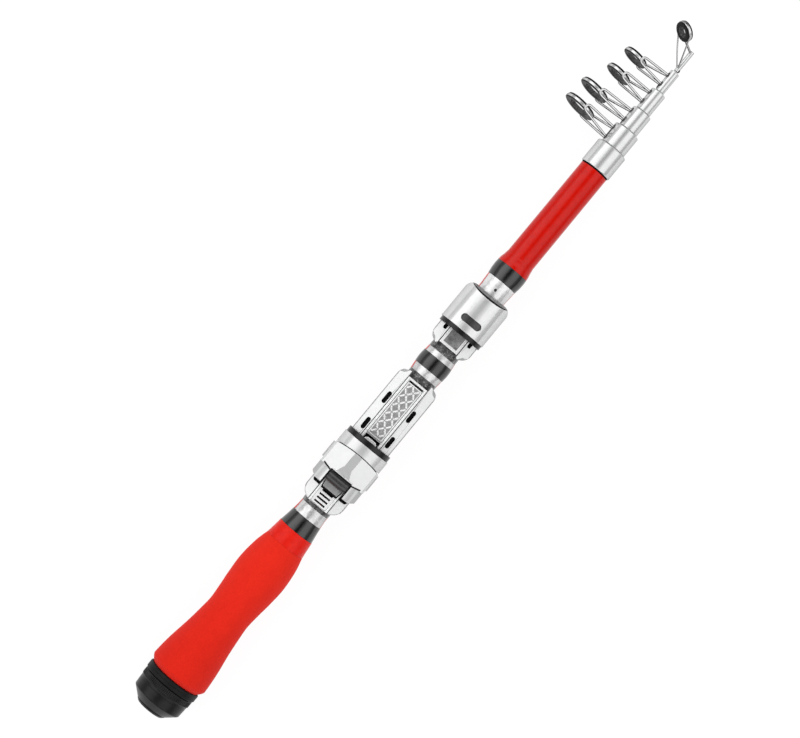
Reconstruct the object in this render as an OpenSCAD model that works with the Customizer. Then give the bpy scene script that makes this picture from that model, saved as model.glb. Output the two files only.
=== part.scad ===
// Telescopic spinning rod, closed for travel.
// The rod lies along +X from the butt's end face to the tip. +Z points out of the
// reel seat, +Y is the side the line guides stand on. All sizes in millimetres.

/* [Butt] */
// Length of the screw cap
cap_len = 13.3; // [12:0.1:15]
// Radius of the cap's barrel
cap_r = 11.8; // [10.5:0.1:12]
// Radius of the cap's flat end face
cap_face_r = 6.3; // [4:0.1:8]
// Length of the black collar between cap and grip
collar_len = 3.4; // [2:0.1:5]

/* [Grip] */
// Length of the foam grip
grip_len = 71.5; // [65:0.5:75]
// Radius of the grip's butt swell
grip_r = 13.4; // [12:0.1:15]

/* [Blank] */
// Outer radius of the main tube
blank_r = 6.45; // [6.3:0.01:6.6]
// Bore radius of the main tube
bore_r = 5.95; // [5.92:0.01:5.98]
// Radial play between a heel sleeve and the bore it runs in
run_gap = 0.1; // [0.06:0.01:0.12]
// Travel of each telescoping section
travel = 228; // [200:1:228]
// Length of a heel sleeve
heel_len = 20; // [14:1:24]

/* [Reel seat] */
// Width of the stamped plates
plate_w = 19.3; // [18.5:0.1:19.4]
// Height of the raised border above the rod's axis
border_z = 9.1; // [8.9:0.05:9.15]
// Width of the raised border across the rod
panel_w = 9.7; // [9:0.1:10]
// Half width of the sliding hood
hood_hw = 11.2; // [11:0.05:11.5]
// Half width of the fixed front hood
front_hw = 10.8; // [10.75:0.05:11]
// Pitch of the ladder slots
ladder_pitch = 1.76; // [1.5:0.01:2]
// Radius of the lock lever's drum
drum_r = 2.6; // [2.2:0.05:2.7]

/* [Guides] */
// Radius of the guide wire
wire_r = 0.52; // [0.4:0.02:0.6]
// Lean of the guide rings towards the tip, in degrees
ring_lean = 5; // [0:1:8]
// Turn of the guides about the direction they stand in, in degrees
ring_turn = 6; // [0:1:8]
// Turn of the tip-top about the rod from the other guides, in degrees
tip_turn = 37; // [0:1:60]

/* [Hidden] */

$fn = 96;
glue = 0.03;

// stations along the rod
x_collar = cap_len + 0.2;
x_grip = x_collar + collar_len;
x_red = x_grip + grip_len;
x_blk = x_red + 7.5;
x_sil = x_blk + 7;
x_wrap = x_sil + 5.2;
x_plate = x_wrap + 1.9;
x_tube_end = 301.2;
band_in = blank_r + glue;

// grip outline: fraction of the length, radius over the butt swell
grip_st = [[0, 0.86], [0.03, 0.985], [0.055, 1], [0.16, 0.95], [0.30, 0.838], [0.40, 0.778],
  [0.49, 0.74], [0.58, 0.776], [0.68, 0.83], [0.79, 0.86], [0.91, 0.802], [1, 0.69]];

// seat levels
flange_z = 8.3;
edge_z = 6.6;
sheet = 0.9;
floor_z = 8.55;
groove_w = 0.35;
arch_z = 5.8;
lip_z = 4.4;
plate_end = 177.7;
panel_end = 175.5;
f_plate = 193.3;
front_panel_w = 9.2;
f_plate_end = 221.5;
hood_x = 126.2;
ear_x = 119;
seam_x = 137.2;
mouth_x = 142;
f_hood_x = 203.8;
f_hood_end = 222.65;
pivot = [123.3, 0, 12];
pin_r = 0.6;
seam_r = 47;
ridge = 1.85;
ridge_z = 15.85;

// telescoping sections: [tube radius at heel, tube radius at tip, bore, ferrule radius,
//                        ferrule start, ferrule end]
sec = [
  [5.30, 5.05, 4.65, 5.85, 302.4, 311.9],
  [4.00, 3.75, 3.30, 4.50, 312.2, 321.8],
  [2.75, 2.60, 2.20, 3.45, 322.1, 332.6],
  [1.75, 1.60, 1.25, 2.08, 332.9, 343.4]];
lip_t = 0.8;
lip_gap = 0.12;
tip_r0 = 0.92;
tip_r1 = 0.74;
tip_x = 343.9;
tip_end = 354.4;

// guides: [ring x, ring height, ring radius, rear foot x, front foot x, foot half spread, wire top below the ring's centre]
guide = [
  [307.1, 21.7, 7.5, 304.2, 309.3, 2.3, 2.0],
  [316.2, 21.4, 6.95, 314.8, 319.5, 2.0, 2.4],
  [327.7, 17.9, 5.9, 325.3, 330.3, 1.7, 1.8],
  [337.45, 16.8, 5.7, 335.8, 340.5, 1.3, 2.5]];

// ---------- helpers ----------

// revolve points [radius, x] about the rod
module rev(pts) rotate([0, 90, 0]) rotate_extrude() polygon(pts);

// extrude an outline drawn as [y, z] along the rod
module along(x0, x1) translate([x0, 0, 0]) rotate([90, 0, 90]) linear_extrude(x1 - x0) children();

// box from corner to corner
module span(a, b) translate(a) cube([b[0] - a[0], b[1] - a[1], b[2] - a[2]]);

// round bar between two points
module bar(p, q, r) {
  d = q - p;
  l = norm(d);
  translate(p) rotate([0, acos(d[2] / l), atan2(d[1], d[0])]) cylinder(r = r, h = l, $fn = 32);
}

// smooth curve through stations [u, v]
function crv(a, b, c, d, t) = b + 0.5 * t * (c - a + t * (2 * a - 5 * b + 4 * c - d + t * (3 * (b - c) + d - a)));
function smooth(s, n) = [for (i = [0:len(s) - 2]) for (j = [0:n - 1])
    crv(s[max(i - 1, 0)], s[i], s[i + 1], s[min(i + 2, len(s) - 1)], j / n), s[len(s) - 1]];

// hood arch: flat-topped round arch of half width hw, offset inwards by d, closed at height zb
function arch(hw, d, zb) =
  let (rs = hw * 0.88, yc = hw - rs, rb = hw * 1.296,
       a = asin(yc / (rb - rs)), zt = arch_z - sqrt(pow(rb - rs, 2) - yc * yc),
       t0 = zb > arch_z ? asin((zb - arch_z) / (rs - d)) : 0,
       foot = zb < arch_z ? [yc + rs - d] : [])
  concat([for (y = foot) [y, zb]],
    [for (i = [0:14]) let (t = t0 + (90 - a - t0) * i / 14) [yc + (rs - d) * cos(t), arch_z + (rs - d) * sin(t)]],
    [for (i = [1:9]) let (t = 90 - a + 2 * a * i / 10) [(rb - d) * cos(t), zt + (rb - d) * sin(t)]],
    [for (i = [0:14]) let (t = 90 + a + (90 - a - t0) * i / 14) [-yc + (rs - d) * cos(t), arch_z + (rs - d) * sin(t)]],
    [for (y = foot) [-y, zb]]);

// plan outline with rounded corners: x0 end radius ra, x1 end radius rb
function plan(x0, x1, hw, ra, rb) = concat(
  [for (i = [0:8]) let (t = 180 + 90 * i / 8) [x0 + ra + ra * cos(t), -hw + ra + ra * sin(t)]],
  [for (i = [0:8]) let (t = 270 + 90 * i / 8) [x1 - rb + rb * cos(t), -hw + rb + rb * sin(t)]],
  [for (i = [0:8]) let (t = 90 * i / 8) [x1 - rb + rb * cos(t), hw - rb + rb * sin(t)]],
  [for (i = [0:8]) let (t = 90 + 90 * i / 8) [x0 + ra + ra * cos(t), hw - ra + ra * sin(t)]]);

// tube swept along points, for the coil spring
module sweep(path, r, n) {
  m = len(path);
  function fr(i) = let (t = path[min(i + 1, m - 1)] - path[max(i - 1, 0)], w = t / norm(t),
    u0 = cross(w, [0, 1, 0]), u = u0 / norm(u0)) [u, cross(w, u)];
  pts = [for (i = [0:m - 1]) let (f = fr(i)) for (j = [0:n - 1])
    path[i] + r * (f[0] * cos(360 * j / n) + f[1] * sin(360 * j / n))];
  faces = concat([[for (j = [0:n - 1]) n - 1 - j]],
    [for (i = [0:m - 2]) for (j = [0:n - 1]) let (k = (j + 1) % n) [i * n + j, i * n + k, (i + 1) * n + k, (i + 1) * n + j]],
    [[for (j = [0:n - 1]) (m - 1) * n + j]]);
  polyhedron(pts, faces);
}

// ---------- handle ----------

module main_blank() color("firebrick") rev([[bore_r, cap_len - 6.8], [blank_r, cap_len - 6.8],
  [blank_r, 236.85], [blank_r + 0.13, 238.85], [blank_r, x_tube_end], [bore_r, x_tube_end]]);

module main_ferrule() color("gainsboro") rev([[blank_r + glue, 290.9], [6.9, 290.9], [7.1, 291.2],
  [7.1, 301.8], [6.8, 302.1], [sec[0][0] + lip_gap, 302.1], [sec[0][0] + lip_gap, x_tube_end],
  [blank_r + glue, x_tube_end]]);

module butt_collar() color([0.08, 0.08, 0.08]) rev([[band_in, cap_len - 7], [8.2, cap_len - 7],
  [8.2, x_collar], [12.1, x_collar], [12.4, x_collar + 0.3], [12.4, x_grip - 0.4], [12, x_grip], [band_in, x_grip]]);

module foam_grip() color("red") rev(concat([for (p = smooth(grip_st, 5)) [p[1] * grip_r, x_grip + p[0] * grip_len]],
  [[band_in, x_red], [band_in, x_grip]]));

module grip_collar_red() color("red") rev([[band_in, x_red], [9.2, x_red], [8.75, x_red + 3.4],
  [8.3, x_blk], [band_in, x_blk]]);

module rear_band_black() color([0.1, 0.1, 0.1]) rev([[band_in, x_blk], [8.2, x_blk], [7.55, x_blk + 4],
  [7.15, x_sil], [band_in, x_sil]]);

module rear_band_silver() color("silver") rev([[band_in, x_sil], [7.1, x_sil], [6.85, x_sil + 2.5],
  [6.75, x_wrap], [band_in, x_wrap]]);

module rear_seat_wrap() color([0.2, 0.2, 0.2]) rev([[band_in, x_wrap], [6.75, x_wrap],
  [6.85, x_wrap + 1.4], [6.75, x_wrap + 2.9], [band_in, x_wrap + 2.9]]);

// stamped plate across the rod: floor, raised border with a groove beside it, sloping flange, turned-down edge
module plate_section(pw, bw) {
  h = plate_w / 2;
  p = pw / 2;
  function fz(y) = flange_z - (y - p) * (flange_z - edge_z) / (h - p);
  half = [[p - bw, floor_z], [p - bw, border_z], [p, border_z], [p, flange_z - 0.5], [p + groove_w, flange_z - 0.5],
    [p + groove_w, fz(p + groove_w)], [h - 0.4, fz(h - 0.4)], [h, edge_z - 0.4], [h, edge_z - sheet], [p, flange_z - sheet]];
  polygon(concat(half, [for (i = [len(half) - 1:-1:0]) [-half[i][0], half[i][1]]]));
}

// takes off a plate's corner at [x, y] with a facet that slopes down along azimuth az
module facet(x, y, az) translate([x, y, flange_z - (abs(y) - panel_w / 2) * (flange_z - edge_z) / (plate_w / 2 - panel_w / 2)])
  rotate([0, 0, az]) rotate([0, 40, 0]) span([0, -9, 0], [9, 9, 9]);

// pill slot cut straight down
module slot(x0, x1, y, w) {
  for (x = [x0 + w / 2, x1 - w / 2]) translate([x, y, 4]) cylinder(d = w, h = 8, $fn = 32);
  span([x0 + w / 2, y - w / 2, 4], [x1 - w / 2, y + w / 2, 12]);
}

module seat_plate() color("silver") difference() {
  union() {
    intersection() {
      along(x_plate - 1, plate_end) plate_section(panel_w, 1);
      linear_extrude(12) polygon(plan(x_plate, plate_end, plate_w / 2, 5.2, 4.1));
    }
    span([panel_end - 1, -panel_w / 2 + 0.4, floor_z - 0.3], [panel_end, panel_w / 2 - 0.4, border_z]);
  }
  for (y = [-6.5, 6.5]) {
    slot(146.4, 152, y, 1.8);
    slot(160, 165.7, y, 1.8);
  }
  // window under the ladder, and the gap between ladder and inset
  span([x_plate + 0.9, -2.9, 4], [133.2, 2.9, 12]);
  span([142.6, -3.65, 4], [146.4, 3.65, 12]);
  span([173.65, -3.5, 4], [174.45, 3.5, 12]);
  for (s = [-1, 1]) facet(plate_end - 2.15, s * 7.5, s * 45);
  // the wrap's end of the panel stands clear past the border
  span([panel_end, -5.2, 4], [plate_end + 1, 5.2, 12]);
}

module ladder_strip() color("gainsboro") difference() {
  linear_extrude(9) union() {
    polygon(plan(x_plate + 0.4, 141.4, 3.78, 0.3, 0.3));
    polygon(plan(140, 145.4, 3.05, 0.2, 1.6));
  }
  translate([0, 0, -1]) linear_extrude(floor_z + 1.02) square([400, 20], center = true);
  for (i = [0:11]) span([x_plate + 1.05 + i * ladder_pitch, -2.7, 8], [x_plate + 1.8 + i * ladder_pitch, 2.7, 10]);
}

module plate_inset() color("lightgray") translate([0, 0, floor_z + 0.02])
  linear_extrude(border_z + 0.02 - floor_z - 0.02) polygon(plan(147, 173.6, 3.55, 0.8, 0.8));

// moulded cradle between a plate with a panel of width pw and the blank
module saddle(x0, x1, pw) along(x0, x1) difference() {
  zs = flange_z - sheet - 0.06;
  ze = zs - (7.8 - pw / 2) * (flange_z - edge_z) / (plate_w / 2 - pw / 2);
  polygon([[-7.8, ze], [-7.8, 5.35], [-6.1, 2.5], [6.1, 2.5], [7.8, 5.35], [7.8, ze], [pw / 2, zs], [-pw / 2, zs]]);
  circle(r = blank_r + glue);
}

module seat_saddle() color([0.07, 0.07, 0.07]) saddle(x_plate + 1.2, 174.6, panel_w);

module mid_wrap_a() color([0.2, 0.2, 0.2]) rev([[band_in, 175.5], [6.75, 175.5], [6.85, 177.2], [6.8, 178.9], [band_in, 178.9]]);
module mid_band_silver_a() color("silver") rev([[band_in, 178.9], [6.85, 178.9], [7.2, 182.3], [band_in, 182.3]]);
module mid_band_black() color([0.12, 0.12, 0.12]) rev([[band_in, 182.3], [7.25, 182.3], [7.42, 184.2], [7.45, 185.4],
  [7.42, 186.6], [7.25, 188.45], [band_in, 188.45]]);
module mid_band_silver_b() color("silver") rev([[band_in, 188.45], [7.2, 188.45], [6.9, 191.05], [band_in, 191.05]]);
module mid_wrap_b() color([0.2, 0.2, 0.2]) rev([[band_in, 191.05], [6.85, 191.05], [6.85, 193], [6.75, 194.8], [band_in, 194.8]]);

module front_plate() color("silver") difference() {
  union() {
    intersection() {
      along(f_plate - 1, f_plate_end) plate_section(front_panel_w, 1.3);
      linear_extrude(12) polygon(plan(f_plate, f_plate_end, plate_w / 2, 4.6, 0.4));
    }
    span([f_plate + 1.3, -4.2, floor_z - 0.3], [f_plate + 2.6, 4.2, border_z]);
  }
  span([f_plate - 1, -5, 4], [f_plate + 1.3, 5, 12]);
  for (s = [-1, 1]) facet(f_plate + 2.15, s * 7.5, s * 135);
  for (y = [-6.4, 6.4]) slot(199.85, 204.2, y, 1.6);
}

module front_inset() color([0.25, 0.25, 0.25]) translate([0, 0, floor_z + 0.02])
  linear_extrude(0.2) polygon(plan(f_plate + 2.75, 216, 3.2, 0.5, 0.5));

module front_saddle() color([0.07, 0.07, 0.07]) saddle(f_plate + 1.6, f_plate_end, front_panel_w);

// hood wall over a plate: arch shell with lips that hook under the plate's edges
module hood_wall(hw, x0, x1, d0, d1) difference() {
  along(x0, x1) polygon(arch(hw, d0, lip_z));
  along(x0 - 1, x1 + 1) polygon(arch(hw, d1, lip_z + 1));
  span([x0 - 1, -8.3, lip_z - 1], [x1 + 1, 8.3, lip_z + 1.1]);
}

// half space ahead of a sloping plane through (x, z) that leans back towards the butt
module ahead(x, z, lean) translate([x, 0, z]) rotate([0, -lean, 0]) span([0, -20, -25], [30, 20, 25]);

module front_hood() color("gainsboro") difference() {
  intersection() {
    along(f_hood_x, f_hood_end) polygon(arch(front_hw, 0, lip_z));
    linear_extrude(20) polygon(plan(f_hood_x, f_hood_end, front_hw, 0.2, 3.7));
  }
  difference() {
    along(f_hood_x - 1, f_hood_end - 1.1) polygon(arch(front_hw, 0.9, lip_z + 1));
    ahead(220.2, 12, 20.5);
  }
  along(f_hood_end - 2, f_hood_end + 1) polygon([[-9.9, lip_z - 1], [-9.9, edge_z + 0.05], [-4.65, flange_z + 0.05],
    [-4.65, border_z + 0.05], [4.65, border_z + 0.05], [4.65, flange_z + 0.05], [9.9, edge_z + 0.05], [9.9, lip_z - 1]]);
  span([f_hood_x - 1, -8.3, lip_z - 1], [f_hood_end + 1, 8.3, lip_z + 1.1]);
  ahead(221.5, 12, 20.5);
  // window across the top
  for (y = [-3.9, 2.7]) translate([208.65, y, 11]) cylinder(d = 3.2, h = 8, $fn = 48);
  span([207.05, -3.9, 11], [210.25, 2.7, 19]);
}

// black liner: mouth ring from xm to xb (depths d0 to d1) and a sleeve (depth d2) from xa into the ring,
// with the pocket for the reel foot at depth d3
module liner(hw, xa, xm, xb, d0, d1, d2, d3) {
  lo = min(xa, xb);
  hi = max(xa, xb);
  xs = xm + 0.3 * (xb - xm);
  difference() {
    union() {
      along(min(xm, xb), max(xm, xb)) polygon(arch(hw, d0, lip_z));
      along(min(xa, xs), max(xa, xs)) polygon(arch(hw, d2, 8.6));
    }
    along(lo - 1, hi + 1) polygon(arch(hw, d3, 8.4));
    along(lo - 1, hi + 1) intersection() {
      polygon(arch(hw, d1, lip_z + 1));
      translate([-20, 0]) square([40, 8.5]);
    }
    span([lo - 1, -8.3, lip_z - 1], [hi + 1, 8.3, lip_z + 1.1]);
  }
}

module front_hood_liner() color([0.06, 0.06, 0.06])
  liner(front_hw, 216.4, f_hood_x, f_hood_x - 2, 0.4, 1.02, 0.93, 1.45);

module front_band_silver() color("silver") rev([[band_in, 222.2], [6.65, 222.2], [7.05, 229.85], [band_in, 229.85]]);
module front_band_black() color([0.1, 0.1, 0.1]) rev([[band_in, 229.85], [7.1, 229.85], [7.5, 232.5], [7.6, 234.9],
  [7.5, 236.85], [blank_r + glue, 236.85]]);
module front_collar_red() color("firebrick") rev([[blank_r + 0.03, 236.85], [7.5, 236.85], [7.35, 238.3], [6.9, 240.3],
  [6.66, 242.1], [blank_r + 0.16, 242.1], [blank_r + 0.16, 238.85]]);

// ---------- butt cap ----------

module butt_cap() color([0.08, 0.08, 0.08]) rev([[0, 0], [cap_face_r - 0.1, 0], [cap_face_r + 0.2, 0.25],
  [cap_face_r + 1, 1.05], [cap_face_r + 0.7, 1.2], [cap_face_r + 1.3, 1.4], [cap_r - 0.6, 4.6], [cap_r - 0.3, 5], [cap_r, cap_len - 3.1], [cap_r + 0.25, cap_len - 2.9],
  [cap_r + 0.25, cap_len - 0.2], [cap_r, cap_len], [8.28, cap_len], [8.28, 3], [0, 3]]);

module rattle_pad() color([0.3, 0.3, 0.3]) rev([[0, 3.2], [7.6, 3.2], [7.6, cap_len - 7.4], [0, cap_len - 7.4]]);

// ---------- sliding hood ----------

// bay for the lever between the ears
module bay() span([ear_x - 5, -5.5, border_z - 2], [hood_x, 5.5, 20]);

module slide_hood() color("gainsboro") difference() {
  union() {
    intersection() {
      hood_wall(hood_hw, ear_x, hood_x + 0.4, 0, 0.95);
      linear_extrude(20) polygon([[ear_x, -9], [ear_x + 2, -hood_hw - 1], [150, -hood_hw - 1],
        [150, hood_hw + 1], [ear_x + 2, hood_hw + 1], [ear_x, 9]]);
    }
    // main shell: flat ridge with a straight fall to each shoulder
    difference() {
      intersection() {
        along(hood_x - 0.4, seam_x + 0.2) polygon([[-hood_hw, lip_z], [-hood_hw, 12.1], [-hood_hw + 0.8, 13.1],
          [-ridge, ridge_z], [ridge, ridge_z], [hood_hw - 0.8, 13.1], [hood_hw, 12.1], [hood_hw, lip_z]]);
        translate([seam_x - seam_r, 0, 0]) cylinder(r = seam_r, h = 20, $fn = 200);
      }
      along(hood_x - 2, seam_x + 1) polygon(arch(hood_hw, 0.95, lip_z + 1));
      span([hood_x - 2, -8.3, lip_z - 1], [seam_x + 1, 8.3, lip_z + 1.1]);
      // the ridge dips towards the lever
      translate([130.2, 0, ridge_z]) rotate([0, -8, 0]) span([-12, -11, 0], [0, 11, 5]);
    }
    // thick ear blocks beside the lever
    for (s = [-1, 1]) intersection() {
      along(ear_x, hood_x - 0.9) polygon(arch(hood_hw, 0.4, lip_z));
      span([ear_x, s > 0 ? 5.5 : -7.6, border_z + 0.4], [hood_x, s > 0 ? 7.6 : -5.5, 20]);
    }
    // side pads
    intersection() {
      along(127.4, 135.2) polygon(arch(hood_hw, -0.75, lip_z));
      for (s = [-1, 1]) span([127, s > 0 ? 10.35 : -13, lip_z + 0.4], [136, s > 0 ? 13 : -10.35, 9.4]);
    }
  }
  bay();
  // slit between ears and main arch
  for (m = [0, 1]) mirror([0, m, 0]) translate([0, 0, border_z]) linear_extrude(12)
    polygon([[hood_x - 1.3, 5], [hood_x - 0.6, 5], [hood_x + 0.5, 9.6], [hood_x - 0.2, 9.6]]);
  // pin holes
  translate(pivot) rotate([90, 0, 0]) cylinder(r = pin_r + 0.02, h = 14.6, center = true, $fn = 48);
}

module slide_hood_collar() color("silver") difference() {
  hood_wall(hood_hw, seam_x - 2, mouth_x, 0.05, 0.95);
  translate([seam_x - seam_r + 0.35, 0, 0]) cylinder(r = seam_r, h = 20, $fn = 200);
}

module slide_hood_liner() color([0.06, 0.06, 0.06])
  liner(hood_hw, 127, mouth_x, mouth_x + 2.4, 0.5, 1.2, 0.98, 1.5);

module lever_pin() color("silver") translate(pivot) rotate([90, 0, 0]) cylinder(r = pin_r, h = 14.4, center = true, $fn = 48);

// torsion spring coiled on the pin, inside the drum
module lever_spring() color("gray") translate(pivot)
  sweep([for (i = [0:60]) let (a = i * 24) [1.15 * cos(a), 2.2 + 2.2 * i / 60, 1.15 * sin(a)]], 0.19, 8);

module lever_drum() color([0.05, 0.05, 0.05]) difference() {
  translate(pivot) rotate([90, 0, 0]) rotate_extrude($fn = 64) polygon([[pin_r + 0.06, -5.15], [drum_r - 0.25, -5.15],
    [drum_r, -2.6], [drum_r, 2.6], [drum_r - 0.25, 5.15], [pin_r + 0.06, 5.15]]);
  translate(pivot) rotate([-90, 0, 0]) translate([0, 0, 1.7]) cylinder(r = 1.6, h = 10, $fn = 48);
  span([pivot[0] - 8, -4.4, border_z + 0.15], [pivot[0] - 1.3, 4.4, border_z + 1.2]);
}

module lever_tongue() color("gainsboro") difference() {
  translate([0, 0, border_z + 0.15]) linear_extrude(1.05)
    polygon([[117.5, -3.5], [pivot[0] - 1.3, -4.4], [pivot[0] - 1.3, 4.4], [117.5, 3.5]]);
  translate([117.5, 0, border_z + 1.2]) rotate([90, 45, 0]) cube([0.8, 0.8, 12], center = true);
}

// ---------- telescoping sections ----------

// bore that section i runs in, and the inner face of the lip that stops its heel
function bore_of(i) = i == 0 ? bore_r : sec[i - 1][2];
function stop_x(i) = i == 0 ? x_tube_end : sec[i - 1][5] - lip_t;
function heel_x(i) = stop_x(i) - travel - heel_len - 0.3;
function tip_in(i) = i < 3 ? sec[i + 1][0] + lip_gap : tip_r0 + lip_gap;

// the tube is straight, with a short taper ahead of the heel that wedges in the lip
module tube(i) color("firebrick") rev([[sec[i][2], heel_x(i)], [sec[i][0], heel_x(i)], [sec[i][0], heel_x(i) + heel_len + 2],
  [sec[i][1], heel_x(i) + heel_len + 14], [sec[i][1], sec[i][5] - lip_t], [sec[i][2], sec[i][5] - lip_t]]);

module heel(i) color("dimgray") rev([[sec[i][0] + 0.06, heel_x(i) + 0.4], [bore_of(i) - run_gap, heel_x(i) + 0.4],
  [bore_of(i) - run_gap, heel_x(i) + heel_len], [sec[i][0] + 0.06, heel_x(i) + heel_len]]);

module ferrule(i) color("gainsboro") rev([[sec[i][1] + glue, sec[i][4]], [sec[i][3] - 0.15, sec[i][4]],
  [sec[i][3], sec[i][4] + 0.15], [sec[i][3], sec[i][5] - 0.25], [sec[i][3] - 0.25, sec[i][5]],
  [tip_in(i), sec[i][5]], [tip_in(i), sec[i][5] - lip_t], [sec[i][1] + glue, sec[i][5] - lip_t]]);

// one bent wire loop in its own plane: legs from two feet to a round top
module loop(xa, xb, xc, l, ra, r) {
  bar([xa, -0.35, 0], [xc - ra, l - ra + 0.1, 0], r);
  bar([xb, -0.35, 0], [xc + ra, l - ra + 0.1, 0], r);
  translate([xc, l - ra, 0]) rotate_extrude(angle = 180, $fn = 48) translate([ra, 0]) circle(r = r + 0.03, $fn = 32);
}

module guide_frame(i) color("silver") {
  g = guide[i];
  f = sec[i][3];
  ro = g[2];
  yf = sqrt(f * f - g[5] * g[5]);
  za = sqrt(ro * ro - g[6] * g[6]) + wire_r * 0.55;
  ya = g[1] - g[6];
  b = atan2(za - g[5], ya - yf);
  l = norm([za - g[5], ya - yf]);
  for (m = [0, 1]) mirror([0, 0, m]) translate([0, yf, g[5]]) rotate([b, 0, 0])
    loop(g[3], g[4], g[0] + (1 - 1.3 * m) * za * sin(ring_turn), l, 1.5, wire_r);
  ring_at(i) rev([[ro - 0.7, -0.6], [ro - 0.15, -0.6], [ro, -0.4], [ro, 0.4], [ro - 0.15, 0.6], [ro - 0.7, 0.6]]);
}

// puts a ring drawn about the rod's axis at guide i
module ring_at(i) translate([guide[i][0], guide[i][1], 0]) rotate([0, ring_turn, 0]) rotate([0, 0, -ring_lean]) children();

// ceramic ring for a band of radius r and half width h: thickness t, lips at -w and v
module spool(r, t, h, w, v) rev([[r - t, -w + 0.5], [r - t + 0.35, -w + 0.08], [r - t + 0.7, -w], [r - 0.6, -w], [r - 0.45, -w + 0.12],
  [r - 0.45, -h - 0.02], [r - 0.72, -h - 0.02], [r - 0.72, h + 0.02], [r - 0.3, h + 0.02], [r - 0.3, v - 0.2],
  [r - 0.5, v], [r - t + 0.7, v], [r - t + 0.35, v - 0.08], [r - t, v - 0.5]]);

module guide_insert(i) color([0.05, 0.05, 0.06]) ring_at(i) spool(guide[i][2], guide[i][2] * 0.38, 0.6, 0.85, 1.4);

module section_2_tube() tube(0);
module section_2_heel() heel(0);
module section_2_ferrule() ferrule(0);
module guide_1_frame() guide_frame(0);
module guide_1_insert() guide_insert(0);
module section_3_tube() tube(1);
module section_3_heel() heel(1);
module section_3_ferrule() ferrule(1);
module guide_2_frame() guide_frame(1);
module guide_2_insert() guide_insert(1);
module section_4_tube() tube(2);
module section_4_heel() heel(2);
module section_4_ferrule() ferrule(2);
module guide_3_frame() guide_frame(2);
module guide_3_insert() guide_insert(2);
module section_5_tube() tube(3);
module section_5_heel() heel(3);
module section_5_ferrule() ferrule(3);
module guide_4_frame() guide_frame(3);
module guide_4_insert() guide_insert(3);

module tip_rod() color("whitesmoke") rev([[0, heel_x(4)], [tip_r0, heel_x(4)], [tip_r0, heel_x(4) + heel_len + 2],
  [tip_r1, tip_x], [tip_r1, tip_end - 0.6], [0, tip_end - 0.6]]);

module tip_heel() color("dimgray") rev([[tip_r0 + 0.06, heel_x(4) + 0.4], [bore_of(4) - run_gap, heel_x(4) + 0.4],
  [bore_of(4) - run_gap, heel_x(4) + heel_len], [tip_r0 + 0.06, heel_x(4) + heel_len]]);

tip_ring = [357.95, 10, 0];
tip_ro = 4.55;
tip_lean = 34;

module tip_top_frame() color("silver") rotate([tip_turn, 0, 0]) {
  rev([[tip_r1 + glue, tip_x], [1.02, tip_x], [1.1, tip_x + 0.1], [1.1, tip_end - 0.15], [0.95, tip_end], [0, tip_end],
    [0, tip_end - 0.5], [tip_r1 + glue, tip_end - 0.5]]);
  for (s = [-1, 1]) bar([tip_x + 1.6, 0.8, 0.5 * s], tip_ring + [-0.2, -0.3, s * (tip_ro - 0.1)], 0.33);
  bar([tip_end - 0.75, 0.5, 0], tip_ring + (tip_ro - 0.25) * [-sin(tip_lean), -cos(tip_lean), 0], 0.5);
  translate(tip_ring) rotate([0, 0, -tip_lean]) rev([[tip_ro - 0.6, -0.6], [tip_ro - 0.12, -0.6], [tip_ro, -0.42],
    [tip_ro, 0.42], [tip_ro - 0.12, 0.6], [tip_ro - 0.6, 0.6]]);
}

module tip_top_insert() color([0.05, 0.05, 0.06]) rotate([tip_turn, 0, 0]) translate(tip_ring) rotate([0, 0, -tip_lean])
  rev([[tip_ro - 2.6, -0.7], [tip_ro - 2.25, -1.22], [tip_ro - 1.85, -1.3], [tip_ro - 0.4, -1.3], [tip_ro - 0.22, -1.15],
    [tip_ro - 0.22, -0.62], [tip_ro - 0.62, -0.62], [tip_ro - 0.62, 0.62], [tip_ro - 0.22, 0.62], [tip_ro - 0.22, 1.15],
    [tip_ro - 0.4, 1.3], [tip_ro - 1.85, 1.3], [tip_ro - 2.25, 1.22], [tip_ro - 2.6, 0.7]]);

// ---------- nodes ----------

main_blank();
main_ferrule();
butt_collar();
foam_grip();
grip_collar_red();
rear_band_black();
rear_band_silver();
rear_seat_wrap();
seat_plate();
ladder_strip();
plate_inset();
seat_saddle();
mid_wrap_a();
mid_band_silver_a();
mid_band_black();
mid_band_silver_b();
mid_wrap_b();
front_plate();
front_inset();
front_saddle();
front_hood();
front_hood_liner();
front_band_silver();
front_band_black();
front_collar_red();
butt_cap();
rattle_pad();
slide_hood();
slide_hood_collar();
slide_hood_liner();
lever_pin();
lever_spring();
lever_drum();
lever_tongue();
section_2_tube();
section_2_heel();
section_2_ferrule();
guide_1_frame();
guide_1_insert();
section_3_tube();
section_3_heel();
section_3_ferrule();
guide_2_frame();
guide_2_insert();
section_4_tube();
section_4_heel();
section_4_ferrule();
guide_3_frame();
guide_3_insert();
section_5_tube();
section_5_heel();
section_5_ferrule();
guide_4_frame();
guide_4_insert();
tip_rod();
tip_heel();
tip_top_frame();
tip_top_insert();
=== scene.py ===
import math

import bmesh
import bpy
from mathutils import Matrix, Vector, noise


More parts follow.
